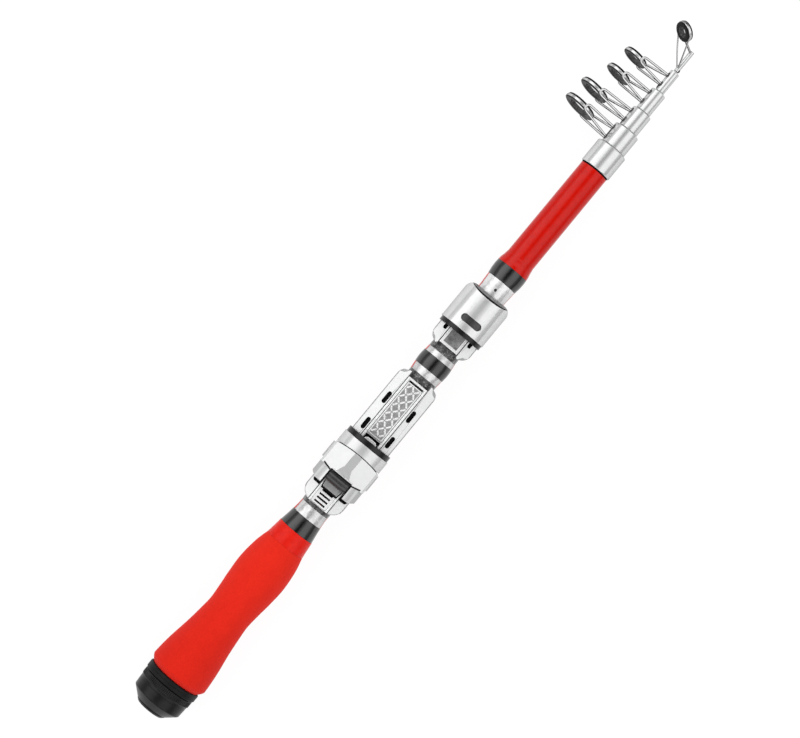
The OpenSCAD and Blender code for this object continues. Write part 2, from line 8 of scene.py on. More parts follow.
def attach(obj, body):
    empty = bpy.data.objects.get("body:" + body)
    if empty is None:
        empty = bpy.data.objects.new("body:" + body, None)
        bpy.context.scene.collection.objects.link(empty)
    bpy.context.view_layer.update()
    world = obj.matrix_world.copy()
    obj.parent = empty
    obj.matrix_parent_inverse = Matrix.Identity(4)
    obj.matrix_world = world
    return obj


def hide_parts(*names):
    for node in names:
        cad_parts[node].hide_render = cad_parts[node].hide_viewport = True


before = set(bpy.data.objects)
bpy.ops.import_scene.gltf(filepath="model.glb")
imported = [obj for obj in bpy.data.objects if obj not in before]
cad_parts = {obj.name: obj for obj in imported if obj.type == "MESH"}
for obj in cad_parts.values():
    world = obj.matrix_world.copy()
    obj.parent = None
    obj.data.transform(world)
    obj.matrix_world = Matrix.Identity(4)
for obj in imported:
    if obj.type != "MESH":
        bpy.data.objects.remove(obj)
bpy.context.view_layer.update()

scene = bpy.context.scene
scene.view_settings.view_transform = "Standard"
scene.view_settings.look = "None"
MM = 0.001
PI = math.pi


# ------------------------------------------------------------------ camera
CAM_POS = Vector((0.1755, 0.0097, 0.950))
CAM_AIM = Vector((0.1753, 0.0097, 0.0))
fwd = (CAM_AIM - CAM_POS).normalized()
right = Vector((0.63724, -0.77067, 0.0))
right = (right - fwd * right.dot(fwd)).normalized()
up = right.cross(fwd)
cam_data = bpy.data.cameras.new("camera")
cam = bpy.data.objects.new("camera", cam_data)
scene.collection.objects.link(cam)
cam.matrix_world = Matrix.Translation(CAM_POS) @ Matrix((right, up, -fwd)).transposed().to_4x4()
cam_data.sensor_width = 36
cam_data.lens = 102.7
cam_data.clip_start = 0.01
cam_data.clip_end = 20
scene.camera = cam


# ------------------------------------------------------------------ materials
class Mat:
    """A principled material and short calls for its nodes. Textures are in object coordinates, in millimetres."""

    def __init__(self, name, **sockets):
        self.m = bpy.data.materials.new(name)
        self.m.use_nodes = True
        self.t = self.m.node_tree
        self.b = self.t.nodes["Principled BSDF"]
        for k, v in sockets.items():
            s = self.b.inputs[k.replace("_", " ")]
            s.default_value = tuple(v) + (1.0,) if isinstance(v, (tuple, list)) and len(v) == 3 else v
        tc = self.t.nodes.new("ShaderNodeTexCoord")
        mp = self.t.nodes.new("ShaderNodeMapping")
        mp.inputs["Scale"].default_value = (1000, 1000, 1000)
        self.t.links.new(tc.outputs["Object"], mp.inputs["Vector"])
        self.co = mp.outputs["Vector"]
        self.normal = tc.outputs["Normal"]

    def axis(self, k, co=None):
        n = self.t.nodes.new("ShaderNodeSeparateXYZ")
        self.link(co or self.co, n.inputs[0])
        return n.outputs[k]

    def link(self, a, b):
        self.t.links.new(a, b)

    def stretched(self, sx, sy, sz):
        mp = self.t.nodes.new("ShaderNodeMapping")
        mp.inputs["Scale"].default_value = (sx, sy, sz)
        self.link(self.co, mp.inputs["Vector"])
        return mp.outputs["Vector"]

    def noise(self, scale, detail=2.0, rough=0.5, co=None):
        n = self.t.nodes.new("ShaderNodeTexNoise")
        n.inputs["Scale"].default_value = scale
        n.inputs["Detail"].default_value = detail
        n.inputs["Roughness"].default_value = rough
        self.link(co or self.co, n.inputs["Vector"])
        return n.outputs["Fac"]

    def voronoi(self, scale, co=None, feature="F1"):
        n = self.t.nodes.new("ShaderNodeTexVoronoi")
        n.feature = feature
        n.inputs["Scale"].default_value = scale
        self.link(co or self.co, n.inputs["Vector"])
        return n.outputs["Distance"]

    def wave(self, scale, axis="X", distort=0.0, co=None):
        n = self.t.nodes.new("ShaderNodeTexWave")
        n.bands_direction = axis
        n.inputs["Scale"].default_value = scale
        n.inputs["Distortion"].default_value = distort
        n.inputs["Detail"].default_value = 1.0
        self.link(co or self.co, n.inputs["Vector"])
        return n.outputs["Fac"]

    def span(self, fac, lo, hi, a=0.0, b=1.0):
        n = self.t.nodes.new("ShaderNodeMapRange")
        n.inputs["From Min"].default_value = lo
        n.inputs["From Max"].default_value = hi
        n.inputs["To Min"].default_value = a
        n.inputs["To Max"].default_value = b
        self.link(fac, n.inputs["Value"])
        return n.outputs["Result"]

    def math(self, op, a, b):
        n = self.t.nodes.new("ShaderNodeMath")
        n.operation = op
        for i, v in enumerate((a, b)):
            if isinstance(v, (int, float)):
                n.inputs[i].default_value = v
            else:
                self.link(v, n.inputs[i])
        return n.outputs[0]

    def ramp(self, fac, stops):
        n = self.t.nodes.new("ShaderNodeValToRGB")
        e = n.color_ramp.elements
        while len(e) < len(stops):
            e.new(0.5)
        for el, (p, c) in zip(e, stops):
            el.position = p
            el.color = tuple(c) + (1.0,)
        self.link(fac, n.inputs["Fac"])
        return n.outputs["Color"]

    def colour(self, fac, stops):
        self.link(self.ramp(fac, stops), self.b.inputs["Base Color"])
        return self

    def rough(self, fac, lo, hi):
        self.link(self.span(fac, 0.3, 0.7, lo, hi), self.b.inputs["Roughness"])
        return self

    def bump(self, heights):
        """heights: list of (socket, strength, distance in mm)"""
        prev = None
        for h, strength, dist in heights:
            n = self.t.nodes.new("ShaderNodeBump")
            n.inputs["Strength"].default_value = strength
            n.inputs["Distance"].default_value = dist * MM
            self.link(h, n.inputs["Height"])
            if prev is not None:
                self.link(prev, n.inputs["Normal"])
            prev = n.outputs["Normal"]
        self.link(prev, self.b.inputs["Normal"])
        return self


def lacquer(name, deep, lit, level=0.26, rough=0.15, wave=0.05):
    m = Mat(name, Roughness=rough, IOR=1.5, Specular_IOR_Level=level)
    n = m.noise(0.55, 3.0)
    m.colour(n, [(0.3, deep), (0.7, lit)])
    m.rough(m.noise(1.6, 3.0), rough - 0.06, rough + 0.08)
    m.bump([(m.noise(0.9, 1.0), wave, 0.08), (m.noise(7.0, 2.0), 0.03, 0.02)])
    return m


def metal(name, lo, hi, r0, r1, streak=(0.25, 6.0, 6.0), bump=0.06):
    m = Mat(name, Metallic=1.0, Roughness=r0)
    n = m.noise(0.35, 4.0, 0.6)
    m.colour(n, [(0.3, lo), (0.7, hi)])
    s = m.noise(1.0, 5.0, 0.65, m.stretched(*streak))
    w = m.noise(0.8, 3.0)
    m.link(m.span(m.math("ADD", m.math("MULTIPLY", s, 0.6), m.math("MULTIPLY", w, 0.4)), 0.35, 0.65, r0, r1), m.b.inputs["Roughness"])
    m.bump([(s, bump, 0.01), (m.noise(0.5, 2.0), bump * 0.8, 0.03)])
    return m


red_lacquer = lacquer("red_lacquer", (0.47, 0.0040, 0.0008), (0.53, 0.0058, 0.0013), 0.2)
cone_lacquer = lacquer("cone_lacquer", (0.60, 0.0090, 0.0040), (0.68, 0.0140, 0.0060), 0.12, 0.3)
black_lacquer = lacquer("black_lacquer", (0.0015, 0.0015, 0.0017), (0.0035, 0.0035, 0.0038), 0.75, 0.14, 0.34)
section_lacquer = lacquer("section_lacquer", (0.47, 0.0040, 0.0008), (0.53, 0.0058, 0.0013), 0.2)
tip_fibre = lacquer("tip_fibre", (0.50, 0.50, 0.47), (0.60, 0.60, 0.57), 0.4, 0.3)



def part_metal(m, metallic):
    """Polish that has gone dull: part mirror, part grey."""
    m.b.inputs["Metallic"].default_value = metallic
    m.b.inputs["Specular Tint"].default_value = (0.3, 0.3, 0.3, 1.0)
    return m


bright_steel = part_metal(metal("bright_steel", (0.585, 0.587, 0.59), (0.625, 0.627, 0.63), 0.10, 0.17), 0.37)
mirror_steel = part_metal(metal("mirror_steel", (0.60, 0.602, 0.605), (0.65, 0.652, 0.655), 0.09, 0.15), 0.45)
# a lighter steel: on a plate's border top it is a painted highlight
panel_steel = part_metal(metal("panel_steel", (0.80, 0.802, 0.805), (0.86, 0.862, 0.865), 0.22, 0.34), 0.3)
shaded_rim_steel = part_metal(metal("shaded_rim_steel", (0.34, 0.34, 0.342), (0.42, 0.42, 0.422), 0.2, 0.34), 0.4)
shaded_side_steel = part_metal(metal("shaded_side_steel", (0.42, 0.422, 0.425), (0.46, 0.462, 0.465), 0.10, 0.17), 0.37)
edge_steel = part_metal(metal("edge_steel", (0.44, 0.442, 0.445), (0.54, 0.542, 0.545), 0.16, 0.28), 0.5)
ferrule_alloy = part_metal(metal("ferrule_alloy", (0.59, 0.592, 0.595), (0.63, 0.632, 0.635), 0.08, 0.14, (9.0, 0.3, 0.3), 0.05), 0.52)
worn_foil = part_metal(metal("worn_foil", (0.50, 0.50, 0.50), (0.68, 0.68, 0.68), 0.12, 0.26, (0.6, 0.9, 0.9), 0.2), 0.52)
silver_foil = part_metal(metal("silver_foil", (0.66, 0.66, 0.66), (0.78, 0.78, 0.78), 0.13, 0.26, (0.6, 0.9, 0.9), 0.14), 0.42)


def wire():
    """Bent wire that is polished along the loop's face; its flanks, where the normal points along the rod, are painted
    dark: painted shade standing in for dark edge reflections.
    """
    m = Mat("wire_steel", Metallic=0.75, Roughness=0.14)
    m.b.inputs["Specular Tint"].default_value = (0.1, 0.1, 0.1, 1.0)
    # painted shade: the more a face's normal points along x, the darker its colour
    flank = m.math("ABSOLUTE", m.axis(0, m.normal), 0.0)
    mottle = m.noise(1.5, 4.0, 0.6)
    fac = m.math("ADD", flank, m.math("MULTIPLY", m.math("SUBTRACT", mottle, 0.5), 0.25))
    m.colour(fac, [(0.0, (0.64, 0.642, 0.645)), (0.34, (0.48, 0.482, 0.485)), (0.54, (0.19, 0.19, 0.192)), (0.75, (0.15, 0.15, 0.152))])
    m.rough(m.noise(0.8, 3.0), 0.10, 0.2)
    m.bump([(m.noise(1.0, 5.0, 0.65, m.stretched(4.0, 0.6, 4.0)), 0.06, 0.01)])
    return m


wire_steel = wire()
satin_steel = metal("satin_steel", (0.46, 0.462, 0.465), (0.60, 0.602, 0.605), 0.1, 0.22, (0.5, 5.0, 5.0), 0.1)
dark_steel = part_metal(metal("dark_steel", (0.15, 0.15, 0.152), (0.34, 0.34, 0.344), 0.2, 0.4, (0.8, 1.2, 1.0), 0.2), 0.4)
# near-black steel: painted shadow in the front plate's grooves and along the tongue's butt edge
shadow_steel = metal("shadow_steel", (0.010, 0.010, 0.0103), (0.030, 0.030, 0.031), 0.3, 0.5, (0.8, 1.2, 1.0), 0.2)


def foam():
    m = Mat("red_foam", Roughness=0.85, Sheen_Weight=0.04, Sheen_Roughness=0.5, Specular_IOR_Level=0.15)
    cells = m.voronoi(3.2)
    fine = m.noise(4.5, 4.0, 0.65)
    broad = m.noise(0.18, 3.0)
    mix = m.math("ADD", m.math("MULTIPLY", fine, 0.88), m.math("MULTIPLY", broad, 0.12))
    mix = m.math("ADD", mix, m.span(m.axis(0), 25.0, 85.0, -0.08, 0.01))
    m.colour(mix, [(0.34, (0.54, 0.0095, 0.0030)), (0.5, (0.665, 0.0155, 0.0052)), (0.66, (0.77, 0.0240, 0.0086))])
    m.link(m.span(fine, 0.3, 0.7, 0.78, 0.94), m.b.inputs["Roughness"])
    pores = m.span(cells, 0.0, 0.22, 0.0, 1.0)
    m.bump([(pores, 0.35, 0.06), (fine, 0.3, 0.08), (m.noise(1.1, 3.0), 0.2, 0.12)])
    return m


def plastic(name, deep, lit, r0, r1, grain=6.0, strength=0.25, level=0.3):
    m = Mat(name, Roughness=r0, Specular_IOR_Level=level)
    n = m.noise(0.8, 4.0, 0.6)
    m.colour(n, [(0.3, deep), (0.7, lit)])
    g = m.noise(grain, 3.0, 0.6)
    m.link(m.span(g, 0.3, 0.7, r0, r1), m.b.inputs["Roughness"])
    m.bump([(g, strength, 0.02), (m.noise(0.7, 2.0), 0.06, 0.06)])
    return m


red_foam = foam()
black_plastic = plastic("black_plastic", (0.002, 0.002, 0.0022), (0.006, 0.006, 0.0063), 0.24, 0.40, 6.0, 0.25, 0.21)
# near-black for painted shadow lines, and for parts seen only inside shaded gaps
shadow_black = plastic("shadow_black", (0.0012, 0.0012, 0.0013), (0.0028, 0.0028, 0.003), 0.55, 0.8, 5.0, 0.3, 0.06)
collar_black = plastic("collar_black", (0.002, 0.002, 0.0022), (0.005, 0.005, 0.0053), 0.4, 0.6, 6.0, 0.25, 0.16)
drum_plastic = plastic("drum_plastic", (0.022, 0.022, 0.0225), (0.042, 0.042, 0.043), 0.15, 0.3, 4.0, 0.15, 0.5)
black_gloss = plastic("black_gloss_plastic", (0.004, 0.004, 0.0042), (0.009, 0.009, 0.0095), 0.16, 0.3, 4.0, 0.1)
pad_rubber = plastic("pad_rubber", (0.04, 0.04, 0.04), (0.075, 0.075, 0.075), 0.7, 0.9, 3.0, 0.4)
heel_fibre = plastic("heel_fibre", (0.07, 0.07, 0.07), (0.15, 0.15, 0.15), 0.4, 0.6, 2.0, 0.3)


def ceramic(name, deep, lit, level):
    m = Mat(name, Roughness=0.2, Specular_IOR_Level=level)
    n = m.noise(1.4, 4.0, 0.6)
    m.colour(n, [(0.3, deep), (0.7, lit)])
    m.rough(m.noise(3.0, 3.0), 0.14, 0.3)
    m.bump([(m.noise(2.0, 2.0), 0.08, 0.03)])
    return m


def thread():
    m = Mat("dark_thread", Roughness=0.3, Coat_Weight=0.6, Coat_Roughness=0.06)
    n = m.noise(0.9, 4.0, 0.6)
    s = m.noise(1.0, 3.0, 0.6, m.stretched(5.0, 0.6, 0.6))
    mix = m.math("ADD", m.math("MULTIPLY", n, 0.6), m.math("MULTIPLY", s, 0.4))
    m.colour(mix, [(0.44, (0.003, 0.003, 0.003)), (0.52, (0.022, 0.022, 0.022)), (0.57, (0.12, 0.12, 0.118)), (0.63, (0.34, 0.34, 0.335))])
    m.rough(n, 0.22, 0.4)
    m.bump([(s, 0.2, 0.04), (m.noise(0.7, 2.0), 0.12, 0.1)])
    return m


def resin():
    m = Mat("binding_resin", Roughness=0.25, Coat_Weight=0.25, Coat_Roughness=0.08)
    n = m.noise(1.2, 3.0)
    m.colour(n, [(0.3, (0.006, 0.006, 0.006)), (0.7, (0.035, 0.035, 0.035))])
    m.rough(n, 0.12, 0.28)
    m.bump([(m.noise(1.8, 2.0), 0.15, 0.05)])
    return m


def tread():
    """Pressed bed: its hollows are painted darker and its raised work lighter, painted shade in the recesses, with a
    random mottle over both.
    """
    m = Mat("tread_steel", Metallic=0.35, Roughness=0.25)
    # painted shade: colour runs from dark at the bed's floor height to light on the raised bars
    h = m.span(m.axis(2), 8.70, 9.10)
    grime = m.noise(1.1, 4.0, 0.6)
    fac = m.math("ADD", h, m.math("MULTIPLY", m.math("SUBTRACT", grime, 0.5), 0.7))
    m.colour(fac, [(0.05, (0.32, 0.32, 0.32)), (0.4, (0.54, 0.54, 0.54)), (0.75, (0.78, 0.782, 0.785)), (1.0, (0.84, 0.842, 0.845))])
    m.rough(grime, 0.18, 0.34)
    m.bump([(m.noise(3.0, 4.0), 0.1, 0.02)])
    return m


tread_steel = tread()
ceramic_black = ceramic("ceramic_black", (0.004, 0.004, 0.0045), (0.022, 0.022, 0.023), 0.03)
ceramic_bore = ceramic("ceramic_bore", (0.035, 0.034, 0.034), (0.085, 0.083, 0.082), 0.2)
dark_thread = thread()
binding_resin = resin()


# ------------------------------------------------------------------ mesh helpers
def piece(name, verts, faces, body, mats, replaces=(), sharp=38.0, index=None, tidy=True):
    me = bpy.data.meshes.new(name)
    me.from_pydata([(x * MM, y * MM, z * MM) for x, y, z in verts], [], faces)
    for m in mats:
        me.materials.append(m.m)
    if index is not None:
        me.polygons.foreach_set("material_index", index)
    if tidy:
        bm = bmesh.new()
        bm.from_mesh(me)
        bmesh.ops.recalc_face_normals(bm, faces=bm.faces)
        bm.to_mesh(me)
        bm.free()
    me.shade_smooth()
    me.set_sharp_from_angle(angle=math.radians(sharp))
    ob = bpy.data.objects.new(name, me)
    scene.collection.objects.link(ob)
    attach(ob, body)
    if replaces:
        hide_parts(*replaces)
    return ob


def rounded(loop, n=4):
    """Closed outline of (a, b, radius) with its corners rounded."""
    out = []
    k = len(loop)
    for i in range(k):
        p = Vector(loop[i][:2])
        rad = loop[i][2] if len(loop[i]) > 2 else 0.0
        a = Vector(loop[i - 1][:2]) - p
        b = Vector(loop[(i + 1) % k][:2]) - p
        la, lb = a.length, b.length
        if rad <= 0 or la < 1e-9 or lb < 1e-9:
            out.append((p.x, p.y))
            continue
        a /= la
        b /= lb
        c = max(-1.0, min(1.0, a.dot(b)))
        th = math.acos(c)
        if th > PI - 0.02:
            out.append((p.x, p.y))
            continue
        t = min(rad / math.tan(th / 2), 0.46 * la, 0.46 * lb)
        r = t * math.tan(th / 2)
        mid = (a + b).normalized()
        centre = p + mid * (r / math.sin(th / 2))
        s, e = p + a * t - centre, p + b * t - centre
        s0 = math.atan2(s.y, s.x)
        d = math.atan2(e.y, e.x) - s0
        while d > PI:
            d -= 2 * PI
        while d < -PI:
            d += 2 * PI
        for j in range(n + 1):
            g = s0 + d * j / n
            out.append((centre.x + r * math.cos(g), centre.y + r * math.sin(g)))
    return out


def revolve(loop, seg=128, radial=None, place=None):
    """Verts and faces of a closed outline of (x, r) turned about the rod. Angle 0 is +Z, 90 degrees +Y."""
    verts, rows, faces = [], [], []
    for x, r in loop:
        if r < 1e-6:
            rows.append([len(verts)])
            verts.append((x, 0.0, 0.0))
            continue
        row = []
        for j in range(seg):
            a = 2 * PI * j / seg
            rr = radial(x, r, a) if radial else r
            row.append(len(verts))
            verts.append((x, rr * math.sin(a), rr * math.cos(a)))
        rows.append(row)
    k = len(rows)
    for i in range(k):
        p, q = rows[i], rows[(i + 1) % k]
        if len(p) == 1 and len(q) == 1:
            continue
        for j in range(seg):
            n = (j + 1) % seg
            if len(p) == 1:
                faces.append((p[0], q[n], q[j]))
            elif len(q) == 1:
                faces.append((p[j], p[n], q[0]))
            else:
                faces.append((p[j], p[n], q[n], q[j]))
    if place is not None:
        verts = [tuple(place @ Vector(v)) for v in verts]
    return verts, faces


def lathe(name, node, body, mats, loop, seg=128, radial=None, fine=4, sharp=38.0, pick=None):
    v, f = revolve(rounded(loop, fine), seg, radial)
    index = None
    if pick:
        index = []
        for q in f:
            c = [sum(v[i][k] for i in q) / len(q) for k in range(3)]
            index.append(pick(c[0], math.atan2(c[1], c[2])))
    return piece(name, v, f, body, mats, (node,) if node else (), sharp, index)


def catmull(pts, n):
    out = []
    k = len(pts)
    for i in range(k - 1):
        a, b, c, d = (Vector(pts[max(i - 1, 0)]), Vector(pts[i]), Vector(pts[i + 1]), Vector(pts[min(i + 2, k - 1)]))
        for j in range(n):
            t = j / n
            out.append(b + 0.5 * t * (c - a + t * (2 * a - 5 * b + 4 * c - d + t * (3 * (b - c) + d - a))))
    out.append(Vector(pts[-1]))
    return out


def sweep(path, radius, seg=16, base=0, tip=0.0):
    """Tube along a path with rounded ends. radius is a number or one per point."""
    pts = [Vector(p) for p in path]
    m = len(pts)
    rad = radius if isinstance(radius, (list, tuple)) else [radius] * m
    tang = [(pts[min(i + 1, m - 1)] - pts[max(i - 1, 0)]).normalized() for i in range(m)]
    u = tang[0].cross(Vector((0.31, 0.17, 0.94))).normalized()
    rings = []
    for i in range(m):
        u = (u - tang[i] * u.dot(tang[i])).normalized()
        w = tang[i].cross(u)
        rings.append((pts[i], u.copy(), w, rad[i]))
    full = []
    for s in (60, 30):
        p, a, w, r = rings[0]
        full.append((p - tang[0] * r * math.sin(math.radians(s)) * 0.8, a, w, r * math.cos(math.radians(s))))
    full += rings
    for s in (30, 60):
        p, a, w, r = rings[-1]
        full.append((p + tang[-1] * r * math.sin(math.radians(s)) * 0.8, a, w, r * math.cos(math.radians(s))))
    verts, faces = [], []
    for p, a, w, r in full:
        for j in range(seg):
            g = 2 * PI * j / seg
            verts.append(tuple(p + r * (a * math.cos(g) + w * math.sin(g))))
    for i in range(len(full) - 1):
        for j in range(seg):
            n = (j + 1) % seg
            faces.append((base + i * seg + j, base + i * seg + n, base + (i + 1) * seg + n, base + (i + 1) * seg + j))
    faces.append(tuple(base + seg - 1 - j for j in range(seg)))
    faces.append(tuple(base + (len(full) - 1) * seg + j for j in range(seg)))
    return verts, faces


def joined(parts):
    verts, faces = [], []
    for v, f in parts:
        b = len(verts)
        verts += v
        faces += [tuple(i + b for i in q) for q in f]
    return verts, faces


def worked(node, name, body, mat, width=0.14, angle=28.0, wide=None, seg=3, picks=(), sharp=60.0):
    """A node's own shape with its edges broken by a small round, as polished pressed metal has.
    wide(x, y, z) gives another width for the edges whose middle is there, in millimetres.
    picks holds pairs of a test, test(c, n) of a face's middle and normal, and the material such faces take."""
    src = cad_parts[node].data
    me = bpy.data.meshes.new(name)
    me.from_pydata([v.co[:] for v in src.vertices], [], [p.vertices[:] for p in src.polygons])
    bm = bmesh.new()
    bm.from_mesh(me)
    bmesh.ops.remove_doubles(bm, verts=bm.verts, dist=1.5e-6)
    bmesh.ops.dissolve_degenerate(bm, dist=1e-6, edges=bm.edges)
    bmesh.ops.recalc_face_normals(bm, faces=bm.faces)
    layer = bm.edges.layers.float.new("bevel_weight_edge")
    most = 0.6
    for e in bm.edges:
        if len(e.link_faces) == 2 and e.calc_face_angle(0.0) > math.radians(angle):
            c = (e.verts[0].co + e.verts[1].co) * 500.0
            w = wide(c.x, c.y, c.z) if wide else None
            e[layer] = (width if w is None else w) / most
    bm.to_mesh(me)
    bm.free()
    me.materials.append(mat.m)
    for k, (test, other) in enumerate(picks):
        me.materials.append(other.m)
        for q in me.polygons:
            if test(q.center * 1000.0, q.normal):
                q.material_index = k + 1
    me.shade_smooth()
    me.set_sharp_from_angle(angle=math.radians(sharp))
    ob = bpy.data.objects.new(name, me)
    scene.collection.objects.link(ob)
    b = ob.modifiers.new("edges", "BEVEL")
    b.limit_method = "WEIGHT"
    b.offset_type = "OFFSET"
    b.width = most * MM
    b.segments = seg
    b.use_clamp_overlap = False
    b.miter_outer = "MITER_ARC"
    w = ob.modifiers.new("face_normals", "WEIGHTED_NORMAL")
    w.weight = 80
    w.keep_sharp = True
    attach(ob, body)
    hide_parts(node)
    return ob


# ------------------------------------------------------------------ butt cap and collar
BLANK_R, BAND_IN = 6.45, 6.48
RIBS = 84


def cap_knurl(x, r, a):
    if r > 11.9 and 10.45 < x < 13.12:
        k = 0.5 + 0.5 * math.cos(RIBS * a)
        e = min(1.0, (x - 10.45) / 0.25, (13.12 - x) / 0.25)
        return r - 0.28 * e * (1 - k) ** 1.5
    return r


cap_loop = [(0.0, 0.0), (0.0, 4.2, 0.1), (0.2, 4.4, 0.1), (0.2, 4.8, 0.1), (0.0, 5.0, 0.1), (0.0, 6.2, 0.15), (0.25, 6.5, 0.2), (1.05, 7.3, 0.1),
            (1.2, 7.02, 0.05), (1.4, 7.6, 0.1), (4.6, 11.2, 0.3), (5.0, 11.5, 0.3), (8.7, 11.7, 0.05), (8.85, 11.58, 0.05), (9.05, 11.58, 0.05),
            (9.2, 11.72, 0.05), (10.15, 11.8, 0.08), (10.4, 12.02, 0.08), (10.6, 12.05), (11.0, 12.05), (11.8, 12.05), (12.6, 12.05), (12.95, 12.05),
            (13.1, 12.05, 0.08), (13.3, 11.8, 0.1), (13.3, 8.28, 0.15), (3.0, 8.28, 0.2), (3.0, 0.0)]
lathe("screw_cap_shell", "butt_cap", "screw_cap", [black_plastic], cap_loop, 84 * 6, cap_knurl)

lathe("butt_ring", "butt_collar", "handle", [collar_black],
      [(6.3, BAND_IN, 0.05), (6.3, 8.2, 0.25), (7.2, 8.2), (7.5, 8.0, 0.1), (12.3, 8.0, 0.1), (12.7, 8.2), (13.5, 8.2, 0.05),
       (13.5, 12.1, 0.15), (13.8, 12.4, 0.2), (15.0, 12.4, 0.05), (15.15, 12.26, 0.05), (15.35, 12.26, 0.05), (15.5, 12.4, 0.05),
       (16.5, 12.4, 0.2), (16.88, 12.0, 0.15), (16.88, BAND_IN, 0.05)], 144)

lathe("cap_pad", "rattle_pad", "cap_carrier", [pad_rubber],
      [(3.2, 0.0), (3.2, 7.6, 0.25), (5.9, 7.6, 0.25), (5.9, 2.0, 0.1), (5.6, 1.7, 0.1), (5.6, 0.0)], 96)

# ------------------------------------------------------------------ foam grip
GRIP = [(0, 0.86), (0.03, 0.985), (0.055, 1.0), (0.16, 0.95), (0.30, 0.838), (0.40, 0.778), (0.49, 0.74), (0.58, 0.776),
        (0.68, 0.83), (0.79, 0.86), (0.91, 0.802), (1.0, 0.69)]
X_GRIP, X_RED = 16.9, 88.4
curve = catmull([(a, b, 0) for a, b in GRIP], 16)
outer = [(X_GRIP + 0.02 + p.x * 71.46, p.y * 13.4) for p in curve]
grip_loop = [(outer[0][0], BAND_IN + 0.02)] + [(outer[0][0], outer[0][1] * f) for f in (0.7, 0.85, 0.95)] + outer + \
            [(outer[-1][0], outer[-1][1] - 0.5), (outer[-1][0], BAND_IN + 0.02)]


def grip_skin(x, r, a):
    if r < 8.6:
        return r
    p = Vector((x * 0.9, r * math.sin(a) * 0.9, r * math.cos(a) * 0.9))
    q = Vector((x * 0.12, r * math.sin(a) * 0.12, r * math.cos(a) * 0.12))
    return r - 0.02 - 0.035 * abs(noise.noise(p)) - 0.05 * abs(noise.noise(q))


v, f = revolve(grip_loop, 224, grip_skin)
grip = piece("grip_foam", v, f, "handle", [red_foam], ("foam_grip",), 60)

# ------------------------------------------------------------------ lacquered transition behind the seat
lathe("grip_cone", "grip_collar_red", "handle", [cone_lacquer],
      [(X_RED, BAND_IN), (X_RED, 9.2, 0.15), (91.8, 8.75, 2.0), (95.88, 8.3, 0.1), (95.88, BAND_IN)], 144)
lathe("rear_black", "rear_band_black", "handle", [black_lacquer],
      [(95.9, BAND_IN), (95.9, 8.2, 0.1), (99.9, 7.55, 2.0), (102.88, 7.15, 0.1), (102.88, BAND_IN)], 144)


def foil_side(x, a):
    """The foil is a strip laid round the upper side; the lacquer shows past its ends."""
    return 0 if math.radians(-76) < a < math.radians(67) else 1


def finely(loop, step):
    """An outline with its long edges split, so that its surface can be worked."""
    out = []
    for p, q in zip(loop, loop[1:] + loop[:1]):
        n = max(1, int(math.hypot(q[0] - p[0], q[1] - p[1]) / step))
        out.append(p)
        out += [(p[0] + (q[0] - p[0]) * k / n, p[1] + (q[1] - p[1]) * k / n) for k in range(1, n)]
    return out


def crumpled(x, r, a):
    """Foil that has been smoothed on by hand: shallow dents with sharp folds between them."""
    if r < 6.6:
        return r
    p = Vector((x * 0.42, 2.9 * math.sin(a), 2.9 * math.cos(a)))
    q = Vector((x * 1.1 + 9, 6.5 * math.sin(a), 6.5 * math.cos(a)))
    return r - 0.13 * abs(noise.noise(p)) - 0.05 * abs(noise.noise(q))


def foil_band(name, node, loop, foil=worn_foil):
    v, f = revolve(finely(rounded(loop, 3), 0.3), 176, crumpled)
    index = []
    for q in f:
        c = [sum(v[i][k] for i in q) / len(q) for k in range(3)]
        index.append(foil_side(c[0], math.atan2(c[1], c[2])))
    return piece(name, v, f, "handle", [foil, red_lacquer], (node,), 50, index)



foil_band("rear_silver", "rear_band_silver", [(102.9, BAND_IN), (102.9, 7.1, 0.08), (105.4, 6.85, 1.0), (108.08, 6.75, 0.08), (108.08, BAND_IN)])


def ridged(x0, x1, stations, pitch=0.3, depth=0.05):
    """Closed outline of a thread wrap: its outer face carries the turns of the thread."""
    n = max(4, int(round((x1 - x0) / pitch)))
    pts = [(x0, BAND_IN)]
    for i in range(n * 6 + 1):
        x = x0 + (x1 - x0) * i / (n * 6)
        for (xa, ra), (xb, rb) in zip(stations, stations[1:]):
            if xa <= x <= xb + 1e-6:
                r = ra + (rb - ra) * (x - xa) / (xb - xa)
        pts.append((x, r - depth + depth * abs(math.sin(PI * n * (x - x0) / (x1 - x0)))))
    pts.append((x1, BAND_IN))
    return pts


def wrap(name, node, x0, x1, stations):
    v, f = revolve(ridged(x0 + 0.01, x1 - 0.01, stations), 128)
    return piece(name, v, f, "handle", [dark_thread], (node,), 80)


wrap("wrap_rear", "rear_seat_wrap", 108.1, 111.0, [(108.1, 6.75), (109.5, 6.85), (111.0, 6.75)])
wrap("wrap_mid_a", "mid_wrap_a", 175.5, 178.9, [(175.5, 6.75), (177.2, 6.85), (178.9, 6.8)])
wrap("wrap_mid_b", "mid_wrap_b", 191.05, 194.8, [(191.05, 6.85), (193.0, 6.85), (194.8, 6.75)])
foil_band("mid_silver_a", "mid_band_silver_a", [(178.9, BAND_IN), (178.9, 6.85, 0.08), (182.28, 7.2, 0.08), (182.28, BAND_IN)])
lathe("mid_black", "mid_band_black", "handle", [black_lacquer],
      [(182.3, BAND_IN), (182.3, 7.25, 0.08), (184.2, 7.42, 1.0), (185.4, 7.45, 1.0), (186.6, 7.42, 1.0), (188.43, 7.25, 0.08), (188.43, BAND_IN)],
      144)
foil_band("mid_silver_b", "mid_band_silver_b", [(188.45, BAND_IN), (188.45, 7.2, 0.08), (191.03, 6.9, 0.08), (191.03, BAND_IN)])
foil_band("front_silver", "front_band_silver", [(222.2, BAND_IN), (222.2, 6.65, 0.08), (229.83, 7.05, 0.08), (229.83, BAND_IN)], silver_foil)
